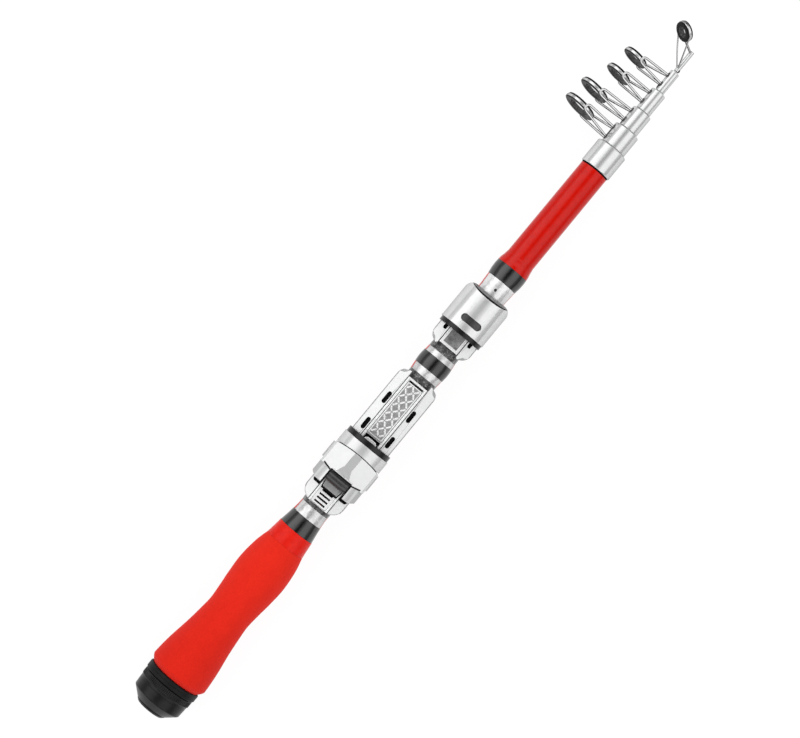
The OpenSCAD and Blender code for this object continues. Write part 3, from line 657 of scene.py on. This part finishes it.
lathe("front_black", "front_band_black", "handle", [black_lacquer],
      [(229.85, BAND_IN), (229.85, 7.1, 0.08), (232.5, 7.5, 1.0), (234.9, 7.6, 1.0), (236.83, 7.5, 0.08), (236.83, BAND_IN)], 144)
lathe("front_flare", "front_collar_red", "handle", [red_lacquer],
      [(236.85, BAND_IN), (236.85, 7.5, 0.08), (238.3, 7.35, 1.0), (240.3, 6.9, 1.5), (242.1, 6.66, 0.06), (242.1, 6.61), (238.85, 6.61)], 144)
# a narrow ring of the blank just behind the main ferrule is near-black: a painted shadow line
lathe("blank_tube", "main_blank", "handle", [red_lacquer, shadow_black],
      [(6.5, 5.95, 0.05), (6.5, BLANK_R, 0.05), (236.85, BLANK_R), (238.85, 6.58, 0.5), (290.2, 6.473), (290.9, 6.471), (301.2, BLANK_R, 0.05), (301.2, 5.95, 0.05)],
      128, pick=lambda x, a: 1 if 290.2 < x < 290.9 else 0)

# ------------------------------------------------------------------ ferrules and telescoping tubes
SEC = [(5.30, 5.05, 4.65, 5.85, 302.4, 311.9), (4.00, 3.75, 3.30, 4.50, 312.2, 321.8),
       (2.75, 2.60, 2.20, 3.45, 322.1, 332.6), (1.75, 1.60, 1.25, 2.08, 332.9, 343.4)]
LIP, GAP, TRAVEL, HEEL = 0.8, 0.12, 228.0, 20.0
lathe("ferrule_main", "main_ferrule", "handle", [ferrule_alloy],
      [(290.9, 6.48), (290.9, 6.9, 0.1), (291.2, 7.1, 0.15), (301.75, 7.1, 0.2), (302.1, 6.8, 0.15), (302.1, 5.42, 0.15), (301.2, 5.42), (301.2, 6.48)],
      144)
for i, (rh, rt, bore, fr, x0, x1) in enumerate(SEC):
    body = "section_%d" % (i + 2)
    stop = 301.2 if i == 0 else SEC[i - 1][5] - LIP
    above = 5.95 if i == 0 else SEC[i - 1][2]
    hx = stop - TRAVEL - HEEL - 0.3
    tin = (SEC[i + 1][0] if i < 3 else 0.92) + GAP
    # the tube is bare alloy for a short way where it enters its ferrule
    lathe("tube_%d" % (i + 2), "section_%d_tube" % (i + 2), body, [section_lacquer, ferrule_alloy],
          [(hx, bore, 0.04), (hx, rh, 0.04), (hx + HEEL + 2, rh, 3.0), (hx + HEEL + 14, rt, 3.0), (x0 - 1.3, rt), (x1 - LIP, rt, 0.03), (x1 - LIP, bore, 0.03)],
          96, pick=lambda x, a, k=x0: 1 if x > k else 0)
    lathe("heel_sleeve_%d" % (i + 2), "section_%d_heel" % (i + 2), "heel_%d" % (i + 2), [heel_fibre],
          [(hx + 0.4, rh + 0.06), (hx + 0.4, above - 0.1, 0.1), (hx + HEEL, above - 0.1, 0.1), (hx + HEEL, rh + 0.06)], 96)
    lathe("ferrule_%d" % (i + 2), "section_%d_ferrule" % (i + 2), body, [ferrule_alloy],
          [(x0, rt + 0.03), (x0, fr - 0.15, 0.08), (x0 + 0.15, fr, 0.1), (x1 - 0.25, fr, 0.15), (x1, fr - 0.25, 0.1), (x1, tin, 0.1),
           (x1 - LIP, tin), (x1 - LIP, rt + 0.03)], 120)

# tip rod and its heel
stop = SEC[3][5] - LIP
hx = stop - TRAVEL - HEEL - 0.3
lathe("tip_blank", "tip_rod", "section_6", [tip_fibre],
      [(hx, 0.0), (hx, 0.92, 0.05), (hx + HEEL + 2, 0.92, 3.0), (343.9, 0.74), (353.8, 0.74, 0.05), (353.8, 0.0)], 64)
lathe("tip_heel_sleeve", "tip_heel", "heel_6", [heel_fibre],
      [(hx + 0.4, 0.98), (hx + 0.4, 1.15, 0.04), (hx + HEEL, 1.15, 0.04), (hx + HEEL, 0.98)], 64)

# ------------------------------------------------------------------ line guides
GUIDE = [(307.1, 21.7, 7.5, 304.2, 309.3, 2.3, 2.0), (316.2, 21.4, 6.95, 314.8, 319.5, 2.0, 2.4),
         (327.7, 17.9, 5.9, 325.3, 330.3, 1.7, 1.8), (337.45, 16.8, 5.7, 335.8, 340.5, 1.3, 2.5)]
WIRE, LEAN, SKEW = 0.52, math.radians(5), math.radians(6)


def wire_loop(xa, xb, xc, l, ra):
    """Bent wire in its own plane: foot, leg, round top, leg, foot."""
    pts = []
    for k in range(9):
        t = k / 8
        pts.append((xa + (xc - ra - xa) * t, -0.3 + (l - ra + 0.3) * t))
    for k in range(1, 16):
        g = PI - PI * k / 16
        pts.append((xc + ra * math.cos(g), l - ra + ra * math.sin(g)))
    for k in range(9):
        t = 1 - k / 8
        pts.append((xb + (xc + ra - xb) * t, -0.3 + (l - ra + 0.3) * t))
    # the bends run into the legs without a corner
    for _ in range(3):
        pts = [pts[0]] + [((a[0] + 2 * b[0] + c[0]) / 4, (a[1] + 2 * b[1] + c[1]) / 4) for a, b, c in zip(pts, pts[1:], pts[2:])] + [pts[-1]]
    return pts


def blob(centre, rx, ry, rz, seg=14, rings=8):
    """Small rounded bead."""
    v, f = [], []
    for i in range(1, rings):
        t = PI * i / rings
        for j in range(seg):
            g = 2 * PI * j / seg
            w = 1 + 0.08 * math.sin(3 * g + centre[0]) * math.sin(t)
            v.append((centre[0] + rx * w * math.sin(t) * math.cos(g), centre[1] + ry * math.cos(t), centre[2] + rz * w * math.sin(t) * math.sin(g)))
    for i in range(rings - 2):
        for j in range(seg):
            n = (j + 1) % seg
            f.append((i * seg + j, i * seg + n, (i + 1) * seg + n, (i + 1) * seg + j))
    a = len(v)
    v.append((centre[0], centre[1] + ry, centre[2]))
    v.append((centre[0], centre[1] - ry, centre[2]))
    for j in range(seg):
        n = (j + 1) % seg
        f.append((a, n, j))
        f.append((a + 1, (rings - 2) * seg + j, (rings - 2) * seg + n))
    return v, f


def ring_place(centre, lean, skew=0.0, turn=0.0):
    m = Matrix.Translation(Vector(centre)) @ Matrix.Rotation(skew, 4, "Y") @ Matrix.Rotation(-lean, 4, "Z")
    return Matrix.Rotation(turn, 4, "X") @ m if turn else m


def bore_faces(loop, seg, limit):
    """Material index of a turned outline's faces: 1 where they lie in the bore, inside the radius limit."""
    return [1 if max(a[1], b[1]) < limit else 0 for a, b in zip(loop, loop[1:] + loop[:1]) for _ in range(seg)]


SPOOL_H, SPOOL_W, SPOOL_V = 0.6, 0.85, 1.4
for i, (gx, gy, ro, xa, xb, sp, drop) in enumerate(GUIDE):
    body = "section_%d" % (i + 2)
    fr = SEC[i][3]
    yf = math.sqrt(fr * fr - sp * sp)
    za, ya = math.sqrt(ro * ro - drop * drop) + WIRE * 0.55, gy - drop
    b = math.atan2(za - sp, ya - yf)
    l = math.hypot(za - sp, ya - yf)
    parts = []
    for s in (1, -1):
        xc = gx + (1.0 if s > 0 else -0.3) * za * math.sin(SKEW)
        path = [(x, yf + y * math.cos(b), s * (sp + y * math.sin(b))) for x, y in wire_loop(xa, xb, xc, l, 1.5)]
        parts.append(sweep(path, WIRE, 18))
        # braze between the loop's top and the ring
        top = (xc, yf + (l - 0.1) * math.cos(b), s * (sp + (l - 0.1) * math.sin(b) - 0.3))
        parts.append(blob(top, 0.8, 0.6, 0.36))
    band = rounded([(-0.6, ro - 0.7), (-0.6, ro - 0.1, 0.12), (-0.4, ro, 0.2), (0.4, ro, 0.2), (0.6, ro - 0.1, 0.12), (0.6, ro - 0.7)], 4)
    parts.append(revolve(band, 112, None, ring_place((gx, gy, 0), LEAN, SKEW)))
    v, f = joined(parts)
    piece("guide_wire_%d" % (i + 1), v, f, body, [wire_steel], ("guide_%d_frame" % (i + 1),), 50)
    r, t, h, w, d = ro, ro * 0.38, SPOOL_H, SPOOL_W, SPOOL_V
    spool = rounded([(-w + 0.5, r - t, 0.4), (-w + 0.08, r - t + 0.35, 0.3), (-w, r - t + 0.7, 0.3), (-w, r - 0.6, 0.1), (-w + 0.12, r - 0.45, 0.1), (-h - 0.02, r - 0.45),
                     (-h - 0.02, r - 0.72), (h + 0.02, r - 0.72), (h + 0.02, r - 0.3, 0.04), (d - 0.2, r - 0.3, 0.12), (d, r - 0.5, 0.15),
                     (d, r - t + 0.7, 0.3), (d - 0.08, r - t + 0.35, 0.3), (d - 0.5, r - t, 0.4)], 5)
    v, f = revolve(spool, 112, None, ring_place((gx, gy, 0), LEAN, SKEW))
    piece("guide_ceramic_%d" % (i + 1), v, f, body, [ceramic_black, ceramic_bore], ("guide_%d_insert" % (i + 1),), 50,
          bore_faces(spool, 112, r - t + 0.3))
    # resin at the wire feet
    parts = []
    for s in (1, -1):
        for x in (xa, xb):
            parts.append(blob((x, yf + 0.05, s * (sp - 0.05)), 1.3, 0.52, 0.9))
    # and, on some, a smear of it along the ferrule
    lo, hi = ((xa - 1.2, xb + 0.6), (SEC[i][4] + 0.1, SEC[i][4] + 3.4), (xa - 0.4, xa + 1.6), (SEC[i][4] + 0.1, SEC[i][4] + 3.2))[i]
    parts.append(blob(((lo + hi) / 2, fr * 0.91, fr * 0.37), (hi - lo) / 2, 0.5, 0.5))
    v, f = joined(parts)
    piece("guide_resin_%d" % (i + 1), v, f, body, [binding_resin])

# ------------------------------------------------------------------ tip-top
TURN, TLEAN, TRO = math.radians(37), math.radians(34), 4.55
TR = Vector((357.95, 10.0, 0.0))
rot = Matrix.Rotation(TURN, 4, "X")
parts = [revolve(rounded([(343.9, 0.77), (343.9, 1.02, 0.04), (344.0, 1.1, 0.06), (354.25, 1.1, 0.12), (354.4, 0.95, 0.1), (354.4, 0.0), (353.9, 0.0), (353.9, 0.77)], 4), 64, None, rot)]
for s in (-1, 1):
    a = Vector((345.5, 0.8, 0.5 * s))
    e = TR + Vector((-0.2, -0.3, s * (TRO - 0.1)))
    mid = a.lerp(e, 0.5) + Vector((0.0, 0.12, 0.18 * s))
    parts.append(sweep([tuple(rot @ p) for p in catmull([a - Vector((1.0, 0.05, 0.1 * s)), a, mid, e], 8)], 0.33, 14))
a = Vector((353.65, 0.5, 0))
e = TR + (TRO - 0.25) * Vector((-math.sin(TLEAN), -math.cos(TLEAN), 0))
parts.append(sweep([tuple(rot @ a.lerp(e, k / 8)) for k in range(9)], 0.5, 14))
band = rounded([(-0.6, TRO - 0.6), (-0.6, TRO - 0.1, 0.1), (-0.42, TRO, 0.15), (0.42, TRO, 0.15), (0.6, TRO - 0.1, 0.1), (0.6, TRO - 0.6)], 4)
parts.append(revolve(band, 96, None, ring_place(TR, TLEAN, 0.0, TURN)))
v, f = joined(parts)
piece("tip_top_wire", v, f, "section_6", [wire_steel], ("tip_top_frame",), 50)
r = TRO
spool = rounded([(-0.7, r - 2.6, 0.3), (-1.22, r - 2.25, 0.3), (-1.3, r - 1.85, 0.3), (-1.3, r - 0.4, 0.15), (-1.15, r - 0.22, 0.1), (-0.62, r - 0.22), (-0.62, r - 0.62),
                 (0.62, r - 0.62), (0.62, r - 0.22), (1.15, r - 0.22, 0.1), (1.3, r - 0.4, 0.15), (1.3, r - 1.85, 0.3), (1.22, r - 2.25, 0.3), (0.7, r - 2.6, 0.3)], 5)
v, f = revolve(spool, 96, None, ring_place(TR, TLEAN, 0.0, TURN))
piece("tip_top_ceramic", v, f, "section_6", [ceramic_black, ceramic_bore], ("tip_top_insert",), 50, bore_faces(spool, 96, r - 2.2))
# cement that has come out at the mouth of the tip-top's tube
v, f = joined([blob((344.5, -0.8, 0.5), 0.75, 0.5, 0.55), blob((344.3, 0.75, -0.55), 0.4, 0.4, 0.45)])
piece("tip_top_cement", v, f, "section_6", [binding_resin])

# ------------------------------------------------------------------ reel seat metalwork


def plate_edges(x, y, z):
    if z > 8.95:
        return 0.3
    if x < 114.9 and abs(y) > 5.3 and z > 8.3 - (abs(y) - 4.85) * 0.354 - 0.45:
        return 0.5
    if 7.7 < z < 8.35 and 4.5 < abs(y) < 5.3:
        return 0.06
    return None


def ladder_edges(x, y, z):
    return 0.22 if z > 8.9 else None


def ear_edges(x, y, z):
    if x < 119.7 and z > 9.2:
        return 0.4
    return None


def grooves(p):
    """The groove beside a plate's raised border takes a dark steel: painted shade in the recess."""
    return lambda c, n: 7.7 < c.z < 8.3 and p - 0.05 < abs(c.y) < p + 0.4 and (n.z > 0.7 or abs(abs(c.y) - p - 0.35) < 0.05)


def border(c, n):
    """A plate's raised border, its top; it takes a lighter steel, a painted highlight."""
    return c.z > 8.9 and n.z > 0.7


def rim(c, n):
    """The turned-down edge along a plate; it takes a darker steel, painted shade."""
    return 0.2 < n.z < 0.95 and c.z < 8.5 and abs(c.y) > 9.2 and abs(n.x) < 0.3


def folded(c, n):
    """The facets at a plate's corners; they take a darker steel, painted shade."""
    return 0.2 < n.z < 0.95 and c.z < 8.5 and abs(n.x) > 0.3 and abs(n.y) > 0.3


# The front hood's sloping end face takes dark steel: painted shade on that face.
def hood_scoop(c, n):
    return c.x > 216 and n.x > 0.6 and 0.2 < n.z < 0.8


def plate_picks(p, groove):
    return [(folded, edge_steel), (rim, shaded_rim_steel), (border, panel_steel), (grooves(p), groove)]


def hood_side(c, n):
    """The steep flanks of a hood, outside; they take a darker steel, painted shade."""
    return abs(c.y) > 9.0 and c.y * n.y > 0 and abs(n.y) > 0.8


worked("seat_plate", "plate_rear", "handle", bright_steel, 0.1, wide=plate_edges, picks=plate_picks(4.85, dark_steel))
worked("ladder_strip", "ladder", "handle", panel_steel, 0.07, wide=ladder_edges)
worked("front_plate", "plate_front", "handle", bright_steel, 0.1, wide=plate_edges, picks=plate_picks(4.6, shadow_steel))
worked("front_hood", "hood_front", "handle", mirror_steel, 0.16, picks=[(hood_scoop, dark_steel)])
# the liner's upward faces near the mouth take a lighter grey plastic: a painted highlight on its top
worked("front_hood_liner", "hood_front_liner", "handle", black_gloss, 0.1,
       picks=[(lambda c, n: c.x > 205.0 and n.z > 0.5, drum_plastic)])
worked("slide_hood", "hood_shell", "hood", bright_steel, 0.15, angle=24.0, wide=ear_edges, picks=[(hood_side, shaded_side_steel)], sharp=13.0)
worked("slide_hood_collar", "hood_ring", "hood", bright_steel, 0.12)
worked("slide_hood_liner", "hood_liner", "hood", black_gloss, 0.1)
# the tongue's butt-facing faces are near-black: a painted shadow along its edge
worked("lever_tongue", "tongue", "lock_lever", edge_steel, 0.14, picks=[(lambda c, n: n.x < -0.4, shadow_steel)])
worked("lever_drum", "drum", "lock_lever", drum_plastic, 0.12)
worked("lever_pin", "hinge_pin", "hood", bright_steel, 0.12)
# the saddles take near-black: painted shade where they show in the gaps
for n, m in (("seat_saddle", shadow_black), ("front_saddle", shadow_black), ("lever_spring", satin_steel)):
    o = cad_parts[n]
    o.data.materials.clear()
    o.data.materials.append(m.m)


def relief(name, node, body, mat, x0, x1, hw, z0, height, nx, ny, corner):
    """A plate with a worked top: height(x, y) gives its top."""
    verts, faces = [], []
    top, bot = [], []
    for i in range(nx + 1):
        rt, rb = [], []
        x = x0 + (x1 - x0) * i / nx
        d = max(0.0, corner - (x - x0), corner - (x1 - x))
        lim = hw - (corner - math.sqrt(max(0.0, corner * corner - d * d)))
        for j in range(ny + 1):
            y = lim * (2 * j / ny - 1)
            rt.append(len(verts))
            verts.append((x, y, height(x, y)))
            rb.append(len(verts))
            verts.append((x, y, z0))
        top.append(rt)
        bot.append(rb)
    for i in range(nx):
        for j in range(ny):
            faces.append((top[i][j], top[i + 1][j], top[i + 1][j + 1], top[i][j + 1]))
            faces.append((bot[i][j], bot[i][j + 1], bot[i + 1][j + 1], bot[i + 1][j]))
        faces.append((top[i][0], bot[i][0], bot[i + 1][0], top[i + 1][0]))
        faces.append((top[i][ny], top[i + 1][ny], bot[i + 1][ny], bot[i][ny]))
    for j in range(ny):
        faces.append((top[0][j], top[0][j + 1], bot[0][j + 1], bot[0][j]))
        faces.append((top[nx][j], bot[nx][j], bot[nx][j + 1], top[nx][j + 1]))
    return piece(name, verts, faces, body, [mat], (node,), 45)


def ease(a, b, x):
    t = max(0.0, min(1.0, (x - a) / (b - a)))
    return t * t * (3 - 2 * t)


def tread_height(x, y):
    """Bars set crosswise in turn, as on tread plate, inside a raised rim."""
    edge = min(x - 147.0, 173.6 - x, 3.55 - abs(y))
    rim = 1 - ease(0.3, 0.55, edge)
    best = 0.0
    ci, cj = round((x - 160.6) / 2.3), round(y / 2.05)
    for i in (ci - 1, ci, ci + 1):
        for j in (cj - 1, cj, cj + 1):
            if abs(j) > 1 or abs(i) > 5:
                continue
            a = math.radians(38 if (i + j) % 2 else -38)
            dx, dy = x - 160.6 - 2.3 * i, y - 2.05 * j
            u = dx * math.cos(a) + dy * math.sin(a)
            w = -dx * math.sin(a) + dy * math.cos(a)
            d = math.hypot(max(0.0, abs(u) - 0.85), w)
            best = max(best, 1 - ease(0.16, 0.5, d))
    soft = ease(0.0, 0.14, edge) * 0.1 - 0.1
    return 8.72 + 0.39 * max(rim, best) + soft


relief("seat_tread", "plate_inset", "handle", tread_steel, 147.0, 173.6, 3.55, 8.57, tread_height, 272, 72, 0.8)


def hammered(x, y):
    h = 0.5 * noise.noise(Vector((x * 0.55, y * 0.55, 3.0))) + 0.3 * noise.noise(Vector((x * 1.2, y * 1.2, 7.0)))
    edge = min(x - 196.05, 216.0 - x, 3.2 - abs(y))
    return 8.66 + 0.1 * h * ease(0.2, 0.7, edge) + 0.06 * (1 - ease(0.2, 0.5, edge))


relief("front_bed", "front_inset", "handle", dark_steel, 196.05, 216.0, 3.2, 8.57, hammered, 120, 48, 0.5)



def flange(y):
    """Height of the rear plate's sloping flange."""
    return 8.3 - (abs(y) - 4.85) * 1.7 / 4.8


def strip(name, body, outlines, low, thick):
    """Thin black strips laid as painted shadow lines: each outline of (x, y) lies at low(x, y)."""
    v, f = [], []
    for o in outlines:
        b, n = len(v), len(o)
        v += [(x, y, low(x, y)) for x, y in o] + [(x, y, low(x, y) + thick) for x, y in o]
        f.append(tuple(b + n - 1 - k for k in range(n)))
        f.append(tuple(b + n + k for k in range(n)))
        f += [(b + k, b + (k + 1) % n, b + n + (k + 1) % n, b + n + k) for k in range(n)]
    return piece(name, v, f, body, [shadow_black], (), 30)


# a black sheet under the tongue, showing round its edge as a painted shadow outline
strip("tongue_shadow", "lock_lever", [[(117.05, -3.95), (121.95, -4.85), (121.95, 4.85), (117.05, 3.95)]], lambda x, y: 9.14, 0.1)
# black strips at the ears' butt ends and along their inner edges: painted shadow lines
ears = []
for k in (1, -1):
    ears.append([(117.4, k * 5.2), (119.3, k * 5.2), (119.3, k * 8.7), (118.0, k * 8.7), (117.4, k * 8.0)])
strip("ear_shadow", "hood", ears, lambda x, y: flange(y) + 0.12, 0.5)
strip("ear_inner_shadow", "hood", [[(119.2, k * 5.19), (125.1, k * 5.19), (125.1, k * 5.72), (119.2, k * 5.72)] for k in (1, -1)], lambda x, y: 14.0, 0.85)


def arch_top(hw, d, y):
    """Height of a hood's arch, set in by d, at y."""
    rs, rb = hw * 0.88, hw * 1.296
    yc = hw - rs
    a = math.asin(yc / (rb - rs))
    if abs(y) < (rb - d) * math.sin(a):
        return 5.8 - math.sqrt((rb - rs) ** 2 - yc * yc) + math.sqrt((rb - d) ** 2 - y * y)
    return 5.8 + math.sqrt(max(0.0, (rs - d) ** 2 - (abs(y) - yc) ** 2))


# black strip along the upper edge of the front hood's sloping end: a painted shadow line
v, f = [], []
for k in range(49):
    y = -8.6 + 17.2 * k / 48
    for d in (0.08, 0.6 + 1.7 * math.cos(y / 8.6 * PI / 2)):
        for out in (-0.05, 0.04):
            z = arch_top(10.8, d, y)
            v.append((221.5 - 0.3739 * (z - 12) + 0.937 * out, y, z + 0.35 * out))
for k in range(48):
    b = 4 * k
    for i, j in ((0, 1), (1, 3), (3, 2), (2, 0)):
        f.append((b + i, b + j, b + 4 + j, b + 4 + i))
f += [(0, 2, 3, 1), (192, 193, 195, 194)]
piece("hood_end_shadow", v, f, "handle", [shadow_black], (), 30)
v, f = blob((225.6, 0.05, 6.72), 0.75, 0.65, 0.22)
piece("band_speck", v, f, "handle", [binding_resin])

# ------------------------------------------------------------------ floor and light
# a light table: pale, and lit from within so that shadows stay faint
floor_mat = Mat("floor_paper", Roughness=0.8, Specular_IOR_Level=0.0, Emission_Color=(1.0, 1.0, 1.0), Emission_Strength=0.915)
floor_mat.colour(floor_mat.noise(0.01, 2.0), [(0.3, (0.100, 0.100, 0.100)), (0.7, (0.103, 0.103, 0.103))])
me = bpy.data.meshes.new("floor")
me.from_pydata([(-3, -3, -0.01345), (3, -3, -0.01345), (3, 3, -0.01345), (-3, 3, -0.01345)], [], [(0, 1, 2, 3)])
me.materials.append(floor_mat.m)
floor = bpy.data.objects.new("floor", me)
scene.collection.objects.link(floor)

# studio: two long soft panels beside the rod, a greyer gap overhead and a greyer horizon
world = bpy.data.worlds.new("studio")
scene.world = world
world.use_nodes = True
wt = world.node_tree
bg = wt.nodes["Background"]
tc = wt.nodes.new("ShaderNodeTexCoord")
sp = wt.nodes.new("ShaderNodeSeparateXYZ")
wt.links.new(tc.outputs["Generated"], sp.inputs[0])


def wmath(op, a, b=0.0):
    n = wt.nodes.new("ShaderNodeMath")
    n.operation = op
    for k, v in enumerate((a, b)):
        if isinstance(v, (int, float)):
            n.inputs[k].default_value = v
        else:
            wt.links.new(v, n.inputs[k])
    return n.outputs[0]


side = wmath("ABSOLUTE", sp.outputs["Y"])
tilt = wmath("ARCTAN2", side, sp.outputs["Z"])
ramp = wt.nodes.new("ShaderNodeValToRGB")
ramp.color_ramp.interpolation = "EASE"
stops = [(0.0, 0.07), (6.0, 0.13), (13.0, 0.68), (26.0, 1.62), (42.0, 1.84), (57.0, 1.80), (70.0, 0.55), (84.0, 0.37), (180.0, 0.37)]
el = ramp.color_ramp.elements
while len(el) < len(stops):
    el.new(0.5)
for e_, (deg, lum) in zip(el, stops):
    e_.position = deg / 180
    e_.color = (lum / 2, lum / 2, lum / 2, 1)
off = wmath("MULTIPLY", wmath("SUBTRACT", wmath("ABSOLUTE", sp.outputs["X"]), 0.30), 5.0)
off = wmath("MULTIPLY", wmath("MINIMUM", wmath("MAXIMUM", off, 0.0), 1.0), math.radians(30))
wt.links.new(wmath("DIVIDE", wmath("MAXIMUM", tilt, off), PI), ramp.inputs["Fac"])
# the panels end before the rod's two ends, and the one on the guides' side is the brighter
ends = wt.nodes.new("ShaderNodeMapRange")
ends.interpolation_type = "SMOOTHSTEP"
ends.inputs["From Min"].default_value = 0.74
ends.inputs["From Max"].default_value = 0.93
ends.inputs["To Min"].default_value = 2.0
ends.inputs["To Max"].default_value = 0.2
wt.links.new(wmath("ABSOLUTE", sp.outputs["X"]), ends.inputs["Value"])
lean = wmath("ADD", wmath("MULTIPLY", wmath("MULTIPLY", sp.outputs["Y"], side), 0.26), 1.0)
wt.links.new(ramp.outputs["Color"], bg.inputs["Color"])
wt.links.new(wmath("MULTIPLY", ends.outputs["Result"], lean), bg.inputs["Strength"])
